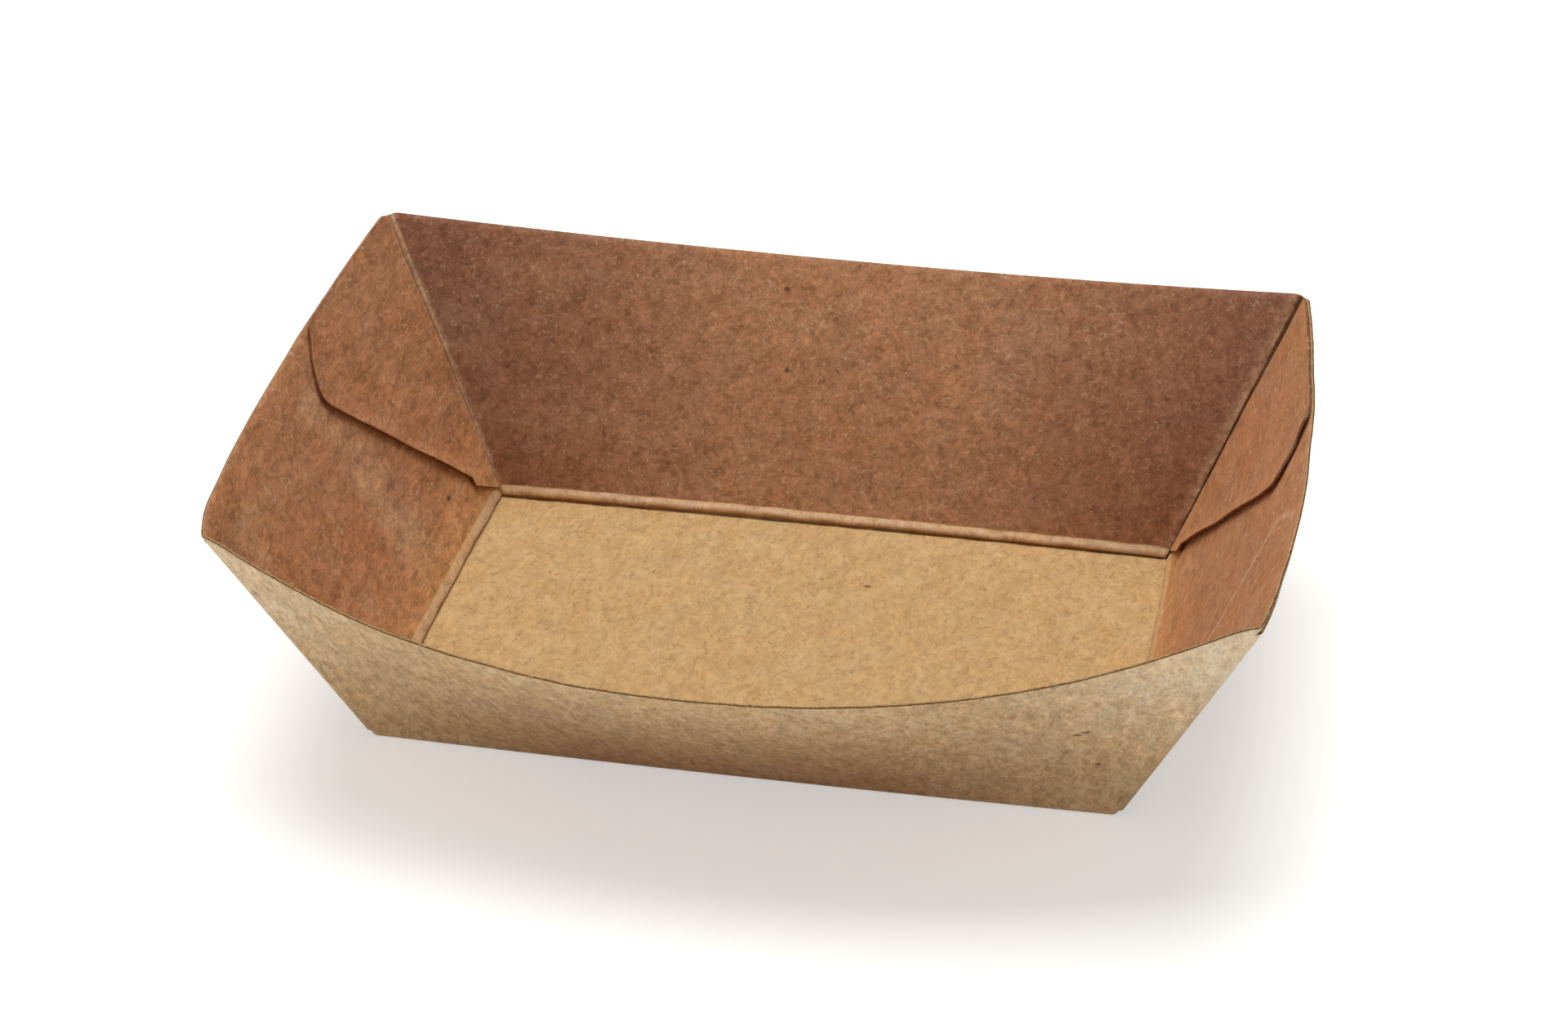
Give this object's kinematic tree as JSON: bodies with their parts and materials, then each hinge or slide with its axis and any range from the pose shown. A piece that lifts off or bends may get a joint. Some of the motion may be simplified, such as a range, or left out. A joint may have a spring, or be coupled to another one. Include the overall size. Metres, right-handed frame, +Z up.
{
  "type": "paper food tray",
  "caption": "Open boat-shaped food tray folded from one sheet of kraft board, with flared, bowed walls and corner flaps glued to its ends.",
  "frame": {"origin": "centre of the tray's footprint, on the surface that it stands on", "axes": "+X along the tray, +Y towards its back wall, +Z up"},
  "size_m": [0.1508, 0.1224, 0.0432],
  "materials": {
    "kraft_board": "matt, uncoated brown kraft board with visible fibres and flecks"
  },
  "bodies": {
    "root": {"tray": "kraft_board"}
  },
  "joints": []
}
